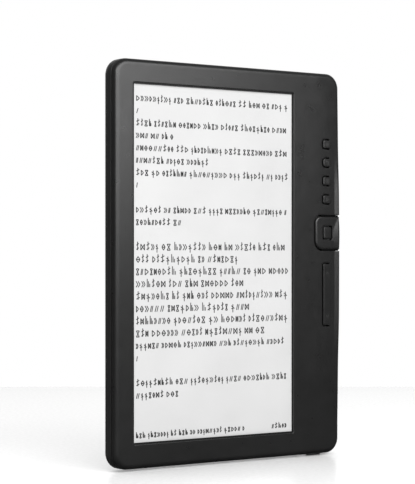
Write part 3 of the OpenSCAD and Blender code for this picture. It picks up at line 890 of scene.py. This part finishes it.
def slot_cutter():
    """A flared plug for the speaker slot, over the speaker's mesh."""
    low, high = mm_box("speaker_mesh")
    middle = ((low.x + high.x) / 2, (low.z + high.z) / 2)
    r = SLOT_W / 2 - 0.001
    rings = [[(x, BACK_DEPTH - 3, z) for x, z in rounded_loop(*middle, SLOT_W, SLOT_H, r, 2, 10, 10)]]
    for a in quarter_turn(4):
        grow = SLOT_LIP * (1 - math.cos(a))
        loop = rounded_loop(*middle, SLOT_W + 2 * grow, SLOT_H + 2 * grow, r + grow, 2, 10, 10)
        rings.append([(x, BACK_DEPTH - SLOT_LIP * (1 - math.sin(a)), z) for x, z in loop])
    rings.append([(x, BACK_DEPTH + 2, z) for x, _, z in rings[-1]])
    return solid_piece("slot_cutter", rings, SHELL)


# ---------- keys ----------


def cap_rings(cx, cz, w, h, r, top, edge, nx, nz):
    """Rings from the foot of a cap's rounded edge to near its middle; top is the depth of its face."""
    rings = []
    for a in quarter_turn(5):
        inset = edge * (1 - math.cos(a))
        loop = rounded_loop(cx, cz, w - 2 * inset, h - 2 * inset, max(r - inset, 0.05), nx, nz, 5)
        rings.append([(x, top(x, z) + edge * (1 - math.sin(a)), z) for x, z in loop])
    for part in (0.4, 0.75, 0.95):
        inset = edge + (min(w, h) / 2 - edge) * part
        loop = rounded_loop(cx, cz, w - 2 * inset, h - 2 * inset, max(r - inset, 0.02), nx, nz, 5)
        rings.append([(x, top(x, z), z) for x, z in loop])
    return rings


def plain_ring(cx, cz, w, h, r, d, nx, nz):
    """A ring round a rounded rectangle, all at one depth."""
    return [(x, d, z) for x, z in rounded_loop(cx, cz, w, h, r, nx, nz, 5)]


KEY_ROLL = 0.8
KEY_EDGE = 0.3


def key_top(node):
    """Depth of a key's face as a function of x and z; it follows most of the shell's roll."""
    front = mm_box(node)[0].y
    return lambda x, z: front + roll(x) * KEY_ROLL


def key_piece(node, name, nx=6, nz=6):
    """A key cap with the flange that holds it in."""
    cx, cz, w, h = KEY_CAPS[node]
    r = KEY_CORNER[node]
    flange = (cx, cz, w + 2 * FLANGE, h + 2 * FLANGE, r + 0.2)
    rings = [plain_ring(*flange, d, nx, nz) for d in (FLANGE_BACK, FLANGE_FRONT)]
    rings.append(plain_ring(cx, cz, w, h, r, FLANGE_FRONT, nx, nz))
    rings += cap_rings(cx, cz, w, h, r, key_top(node), KEY_EDGE, nx, nz)
    return solid_piece(name, rings, KEYS)


# The pad's roundings, round its face and at the body's side, then its skirt behind them, which is wider
# than the face all round but further in at the side, and its flange
PAD_EDGE = 0.8
PAD_SIDE_EDGE = 1.1
SKIRT_IN = 0.35
SKIRT_OUT = 0.2
SKIRT_D = PAD_SIDE_EDGE + 0.1
SKIRT_SIDE = 1.25
PAD_FLANGE_W = 4.2

# The raised lens at the pad's right: its curved crease is furthest left at LENS_Z
LENS_X = 57.6
LENS_Z = 100.9
LENS_HALF = 6.5
LENS_BOW = 1.9
LENS_RIGHT = 60.5
LENS_RISE = 0.11

# The seal in the pad's gap: its clearance to the shell, where it starts, and how far it lies in
SEAL_GAP = 0.1
SEAL_LEFT = 51.0
SEAL_SINK = 0.2
SEAL_BACK = 2.0


def pad_top(x, z):
    """Depth of the pad's face: it rolls back as the shell does, and rises again past a curved crease."""
    crease = min(LENS_RIGHT, LENS_X + LENS_BOW * ((z - LENS_Z) / LENS_HALF) ** 2)
    base = roll(min(x, crease))
    return PAD_LOW.y + base - max(0, x - crease) * LENS_RISE


def pad_foot(x, z):
    """Depth of the pad's back, which reaches further at the body's side."""
    return PAD_HIGH.y if x > PAD_RIGHT - SKIRT_SIDE else FLANGE_BACK


def pad_rings():
    """Rings from the pad's back over its rounded edge to its face."""
    skirt = pad_loop(SKIRT_OUT, PAD_RIGHT - SKIRT_IN)
    rings = [[(x, pad_foot(x, z), z) for x, z in skirt]]
    for loop in (skirt, pad_loop(0, PAD_RIGHT)):
        rings.append([(x, pad_top(x, z) + SKIRT_D, z) for x, z in loop])
    for a in quarter_turn(6):
        right = PAD_RIGHT - PAD_SIDE_EDGE * (1 - math.cos(a))
        ring = []
        for x, z in pad_loop(-PAD_EDGE * (1 - math.cos(a)), right):
            r = PAD_SIDE_EDGE if x > right - 0.01 else PAD_EDGE
            ring.append((x, pad_top(x, z) + r * (1 - math.sin(a)), z))
        rings.append(ring)
    return rings


def direction_pad():
    """The pad's cap, with the opening for the centre button."""
    shape = Shape()
    bottom, rim = shape.loft(pad_rings())
    hole = (OK_X, OK_Z, OK_W + 2 * KEY_GAP, OK_H + 2 * KEY_GAP)
    top, floor = add_opening(shape, *hole, 1.0, PAD_LIP, pad_top, FLANGE_BACK)

    def clear(x, z):
        return is_inside(x, z, pad_loop(-1.0, PAD_RIGHT - 1.3)) and outside_rect(x, z, *hole, 0.3)

    points = inside_points(PAD_LEFT, PAD_RIGHT, PAD_Z - PAD_H / 2, PAD_Z + PAD_H / 2, 0.45, clear)
    shape.fill(rim, [top], points, pad_top)
    shape.fill(bottom, [floor], [], pad_foot)
    return shape.build("pad_cap", KEYS)


def pad_flange():
    """The plate behind the pad that holds it in the shell."""
    outline = (PAD_LOW.x + PAD_FLANGE_W / 2, PAD_Z, PAD_FLANGE_W, PAD_H + 2 * FLANGE, 0.6)
    rings = [plain_ring(*outline, d, 3, 8) for d in (FLANGE_BACK, FLANGE_FRONT)]
    return solid_piece("pad_flange", rings, KEYS)


def seal_rings(way):
    """Rings along the seal above the pad (way 1) or below it (way -1), rounded as the pad is at its side."""
    side = HALF - SEAL_SINK
    steps = 12
    inner = PAD_Z + way * (PAD_H / 2 - 0.3)
    outer = PAD_Z + way * (PAD_H / 2 + PAD_GAP - SEAL_GAP)
    rings = []
    for i in range(steps + 1):
        x = SEAL_LEFT + (side - SEAL_LEFT) * i / steps
        lean = max(0, x - (side - PAD_SIDE_EDGE)) / PAD_SIDE_EDGE
        front = pad_top(x, PAD_Z + way * PAD_H / 2) + SEAL_SINK
        front += PAD_SIDE_EDGE * (1 - math.sqrt(max(0, 1 - lean**2)))
        rings.append([(x, front, inner), (x, front, outer), (x, SEAL_BACK, outer), (x, SEAL_BACK, inner)])
    return rings


def pad_seal():
    """Rubber in the pad's gap above and below it, out to the body's side. Its near-black, almost
    unreflective finish is painted shade for the gap.
    """
    shape = Shape()
    for way in (-1, 1):
        shape.solid(seal_rings(way))
    return shape.build("pad_seal", SEAL_AND_SHADE)


POST_W = 2.4
POST_R = 1.19
OK_CORNER = 0.7
OK_EDGE = 0.4
OK_BACK = 1.7


def centre_button():
    """The button in the pad, on its round post."""
    rings = [plain_ring(OK_X, OK_Z, POST_W, POST_W, POST_R, d, 5, 5) for d in (OK_HIGH.y, OK_BACK)]
    outline = (OK_X, OK_Z, OK_W, OK_H, OK_CORNER)
    rings.append(plain_ring(*outline, OK_BACK, 5, 5))
    rings += cap_rings(*outline, lambda x, z: OK_LOW.y + roll(x), OK_EDGE, 5, 5)
    return solid_piece("centre_cap", rings, KEYS)


def power_button():
    """The cap on the bottom edge with its flange, as sections across z from the top down."""
    low, high = mm_box("power_button")
    cx, cd = (low.x + high.x) / 2, (low.y + high.y) / 2
    wide, thick = high.x - low.x, high.y - low.y
    w = wide - 2 * POWER_FLANGE
    sections = [(wide, thick, high.z), (wide, thick, high.z - FLANGE), (w, thick, high.z - FLANGE)]
    for a in quarter_turn(4):
        shrink = 2 * KEY_EDGE * (1 - math.cos(a))
        sections.append((w - shrink, thick - shrink, low.z + KEY_EDGE * (1 - math.sin(a))))
    rings = [[(x, d, z) for x, d in rounded_loop(cx, cd, a, b, 0.35, 6, 2, 5)] for a, b, z in sections]
    return solid_piece("power_cap", rings, POWER)


# ---------- marks on the keys and on the page ----------


MARK_SINK = 0.02


class Marks:
    """Thin strokes laid on a surface whose depth is a function of x and z."""

    def __init__(self, surface, width, thick):
        self.shape = Shape()
        self.surface = surface
        self.width = width
        self.thick = thick

    def stroke(self, x0, z0, x1, z1):
        """A flat bar from one point to another."""
        half = self.width / 2
        length = math.hypot(x1 - x0, z1 - z0)
        nx, nz = -(z1 - z0) / length * half, (x1 - x0) / length * half
        corners = [(x0 + nx, z0 + nz), (x1 + nx, z1 + nz), (x1 - nx, z1 - nz), (x0 - nx, z0 - nz)]
        front = self.shape.ring([(x, self.surface(x, z) - self.thick, z) for x, z in corners])
        back = self.shape.ring([(x, self.surface(x, z) + MARK_SINK, z) for x, z in corners])
        self.shape.bridge(front, back)
        self.shape.cap(front)
        self.shape.cap(back)

    def path(self, points):
        """Strokes from point to point."""
        for a, b in zip(points, points[1:]):
            self.stroke(*a, *b)

    def arc(self, cx, cz, r, start, end, count=14):
        """Strokes along an arc; start and end are in degrees."""
        angles = [math.radians(start + (end - start) * i / count) for i in range(count + 1)]
        self.path([(cx + r * math.cos(a), cz + r * math.sin(a)) for a in angles])


def legend_bars(m, x, z):
    for row in (-0.6, 0, 0.6):
        m.stroke(x - 0.85, z + row, x + 0.85, z + row)


def legend_return(m, x, z):
    m.arc(x + 0.1, z - 0.05, 0.65, -90, 90)
    m.stroke(x + 0.1, z + 0.6, x - 0.8, z + 0.6)
    m.path([(x - 0.45, z + 0.95), (x - 0.85, z + 0.6), (x - 0.45, z + 0.25)])


def legend_zoom(m, x, z):
    m.arc(x, z, 0.85, 0, 360, 20)
    m.stroke(x - 0.42, z, x + 0.42, z)
    m.stroke(x, z - 0.42, x, z + 0.42)


def legend_play(m, x, z):
    m.path([(x - 0.6, z + 0.75), (x + 0.75, z), (x - 0.6, z - 0.75), (x - 0.6, z + 0.75)])


LEGENDS = [legend_bars, legend_return, legend_zoom, legend_play]


def key_legend(number, node):
    """The sign on a function key."""
    cx, cz, _, _ = KEY_CAPS[node]
    marks = Marks(key_top(node), 0.16, 0.015)
    LEGENDS[number - 1](marks, cx, cz)
    return marks.shape.build(f"key_legend_{number}", ICON)


def rocker_legend():
    """An arrowhead near each end of the rocker."""
    cx, cz, _, _ = KEY_CAPS["page_rocker"]
    marks = Marks(key_top("page_rocker"), 0.18, 0.015)
    for way in (-1, 1):
        z = cz + way * 10
        marks.path([(cx - 0.8, z - way * 0.4), (cx, z + way * 0.4), (cx + 0.8, z - way * 0.4)])
    return marks.shape.build("rocker_legend", ICON)


# Each made-up sign is a list of paths in a cell one unit wide and high; none is a letter or a figure
SIGNS = [
    [[(0.1, 0.0), (0.45, 1.0)], [(0.55, 0.0), (0.9, 1.0)]],
    [[(0.5, 0.0), (0.95, 0.5), (0.5, 1.0), (0.05, 0.5), (0.5, 0.0)], [(0.05, 0.5), (0.95, 0.5)]],
    [[(0.0, 1.0), (0.45, 0.5), (0.0, 0.0)], [(0.5, 1.0), (0.95, 0.5), (0.5, 0.0)]],
    [[(0.1, 0.0), (0.9, 1.0), (0.1, 1.0), (0.9, 0.0), (0.1, 0.0)]],
    [[(0.15, 1.4), (0.15, 0.0)], [(0.5, 0.0), (0.5, 1.0)], [(0.85, 0.0), (0.85, 0.6)]],
    [[(0.05, 0.0), (0.05, 1.0), (0.95, 0.0), (0.95, 1.0), (0.05, 0.0)]],
    [[(0.5, 0.0), (0.5, 1.4)], [(0.1, 0.8), (0.9, 1.1)], [(0.1, 0.1), (0.9, 0.4)]],
    [[(0.15, 0.0), (0.15, 1.0), (0.95, 0.5), (0.15, 0.0)]],
    [[(0.5, -0.4), (0.5, 1.0)], [(0.1, 0.75), (0.9, 0.25)], [(0.1, 0.25), (0.4, 0.25)]],
]
# Share of the page's width that each line of signs fills; 0 leaves a line blank
LINE_SHARES = [
    1, 0.04, 1, 0.25, 1, 0.46, 1, 0.02, 0, 1, 0.29, 0,
    1, 0.67, 1, 0.70, 1, 0.76, 1, 0.85, 1, 0.02, 0, 1, 0.28,
]
LINE_TOP = 159.3
LINE_PITCH = 5.33
PAGE_LEFT = SCREEN_X - SCREEN_W / 2 + 1.2
PAGE_WIDTH = SCREEN_W - 2.6
PAGE_RIGHT = PAGE_LEFT + PAGE_WIDTH
FOOT_Z = 14.2
SIGN_H = 2.25
TALL_SIGN_H = 2.6
TALL_ROWS = range(12, 20)
FOOT_SIGN_H = 1.9


def sign_line(marks, x, z, end, size, rng):
    """Words of two to nine signs from x to end, on a line whose middle is at z."""
    low = z - size * 0.5
    while x < end:
        for _ in range(rng.randint(2, 9)):
            wide = size * rng.choice((0.5, 0.62, 0.72, 0.82))
            if x + wide > end:
                return
            for path in rng.choice(SIGNS):
                marks.path([(x + px * wide, low + pz * size) for px, pz in path])
            x += wide + size * 0.28
        x += size * 0.42


def page_marks():
    """The lines of signs on the page, and the two short runs at its foot."""
    rng = random.Random(11)
    marks = Marks(lambda x, z: PANEL_D, 0.42, 0.02)
    for row, share in enumerate(LINE_SHARES):
        z = LINE_TOP - LINE_PITCH * row
        if 0 < share < 0.1:
            marks.stroke(PAGE_LEFT + 0.3, z - 1.1, PAGE_LEFT + 0.3 + share * 20, z + 1.1)
        elif share:
            size = TALL_SIGN_H if row in TALL_ROWS else SIGN_H
            sign_line(marks, PAGE_LEFT, z, PAGE_LEFT + PAGE_WIDTH * share, size, rng)
    sign_line(marks, PAGE_LEFT, FOOT_Z, PAGE_LEFT + PAGE_WIDTH * 0.7, FOOT_SIGN_H, rng)
    sign_line(marks, PAGE_RIGHT - 10, FOOT_Z, PAGE_RIGHT, FOOT_SIGN_H, rng)
    return marks.shape.build("page_marks", INK)


# ---------- pieces, each with the body it moves with and the CAD node it stands for ----------

front = front_shell()
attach(front, "housing")
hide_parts("front_shell")
strip = screen_strip()
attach(strip, "housing")
band = mid_band()
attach(band, "housing")
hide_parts("mid_frame")
cover = back_cover()
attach(cover, "housing")
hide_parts("back_cover")
for number, node in enumerate(KEY_NODES, 1):
    piece = key_piece(node, f"key_cap_{number}")
    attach(piece, node)
    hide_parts(node)
rocker = key_piece("page_rocker", "rocker_cap", 6, 24)
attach(rocker, "page_rocker")
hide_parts("page_rocker")

pad = direction_pad()
flange = pad_flange()
seal = pad_seal()
for piece in (pad, flange, seal):
    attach(piece, "direction_pad")
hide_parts("direction_pad")
middle = centre_button()
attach(middle, "centre_button")
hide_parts("centre_button")
power = power_button()
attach(power, "power_button")
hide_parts("power_button")
for number, node in enumerate(KEY_NODES, 1):
    legend = key_legend(number, node)
    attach(legend, node)
legend = rocker_legend()
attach(legend, "page_rocker")
page = page_marks()
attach(page, "housing")

# ---------- stage ----------

# Where the camera stands in the body's own measure, and how far it is turned from facing the screen
EYE = (-447.03, -611.97, 91.5)
EYE_TURN = math.radians(35.3)
AHEAD = Vector((math.sin(EYE_TURN), math.cos(EYE_TURN), 0))

# The table top: its near and far edge ahead of the camera, and half its width, in metres
FLOOR_NEAR = 0.3
FLOOR_FAR = 1.2
FLOOR_HALF = 0.45


def glow(tree, direction, start, end, strength):
    """A patch of light in the world round a direction, full within start degrees of it and gone at end."""
    new, link = tree.nodes.new, tree.links.new
    coords = new("ShaderNodeTexCoord")
    dot = new("ShaderNodeVectorMath")
    dot.operation = "DOT_PRODUCT"
    dot.inputs[1].default_value = Vector(direction).normalized()
    link(coords.outputs["Generated"], dot.inputs[0])
    spread = new("ShaderNodeMapRange")
    spread.interpolation_type = "SMOOTHSTEP"
    spread.inputs["From Min"].default_value = math.cos(math.radians(end))
    spread.inputs["From Max"].default_value = math.cos(math.radians(start))
    spread.inputs["To Max"].default_value = strength
    link(dot.outputs["Value"], spread.inputs["Value"])
    return spread.outputs["Result"]


def studio_world():
    """Dim light from above and from beyond the reader, and plain white where the camera looks past it."""
    world = bpy.data.worlds.new("studio")
    bpy.context.scene.world = world
    world.use_nodes = True
    tree = world.node_tree
    background = tree.nodes["Background"]
    new, link = tree.nodes.new, tree.links.new
    above = glow(tree, (0, 0, 1), 0, 180, 0.25)
    beyond = glow(tree, AHEAD + Vector((0, 0, 0.15)), 15, 40, 0.6)
    total = new("ShaderNodeMath")
    link(above, total.inputs[0])
    link(beyond, total.inputs[1])
    ways = new("ShaderNodeLightPath")
    mix = new("ShaderNodeMix")
    mix.inputs["B"].default_value = 1.0
    link(ways.outputs["Is Camera Ray"], mix.inputs["Factor"])
    link(total.outputs["Value"], mix.inputs["A"])
    link(mix.outputs["Result"], background.inputs["Color"])


def area_light(name, place, aim, size, radiance):
    """A rectangular soft light at a place in metres, turned towards aim."""
    data = bpy.data.lights.new(name, "AREA")
    data.shape = "RECTANGLE"
    data.size, data.size_y = size
    data.energy = radiance * math.pi * size[0] * size[1]
    light = add_object(name, data)
    light.location = place
    light.rotation_euler = (Vector(aim) - Vector(place)).to_track_quat("-Z", "Y").to_euler()
    return light


def floor_material():
    """Smooth pale laminate."""
    n = Nodes("floor_white")
    n.surface(n.ramp(n.noise(300, 2), tone(0.87), tone(0.9)), n.spread(n.noise(2, 2), 0.2, 0.24))
    n.bump(n.noise(1.2, 2), 0.001)
    return n.material


def studio_floor():
    """A pale table top, square to the camera, with the reader near its middle."""
    aside = Vector((AHEAD.y, -AHEAD.x, 0))
    eye = to_row(*EYE)
    eye.z = 0
    corners = [eye + AHEAD * FLOOR_NEAR + aside * b for b in (-FLOOR_HALF, FLOOR_HALF)]
    corners += [eye + AHEAD * FLOOR_FAR + aside * b for b in (FLOOR_HALF, -FLOOR_HALF)]
    mesh = bpy.data.meshes.new("floor")
    mesh.from_pydata(corners, [], [(0, 1, 2, 3)])
    mesh.materials.append(floor_material())
    return add_object("floor", mesh)


def studio():
    """World, table and lights. The table isn't mirrored in the reader, and has a light of its own."""
    bpy.context.scene.view_settings.view_transform = "Standard"
    studio_world()
    floor = studio_floor()
    floor.visible_glossy = False
    area_light(
        "key_softbox", place=(-0.12, -0.55, 0.365), aim=(-0.09, 0, 0.09), size=(1.08, 0.5), radiance=5.0,
    )
    overhead = area_light(
        "floor_light", place=(0, 0.25, 1.0), aim=(0, 0.15, 0), size=(1.6, 1.4), radiance=1.95,
    )
    lit = bpy.data.collections.new("floor_only")
    lit.objects.link(floor)
    overhead.light_linking.receiver_collection = lit


def camera():
    """A level camera, its picture shifted up a little."""
    data = bpy.data.cameras.new("camera")
    data.lens = 126.5
    data.sensor_width = 36
    data.shift_y = 0.029
    data.clip_start = 0.01
    eye = add_object("camera", data)
    eye.location = to_row(*EYE)
    eye.rotation_euler = (math.radians(90), 0, -EYE_TURN)
    bpy.context.scene.camera = eye


studio()
camera()
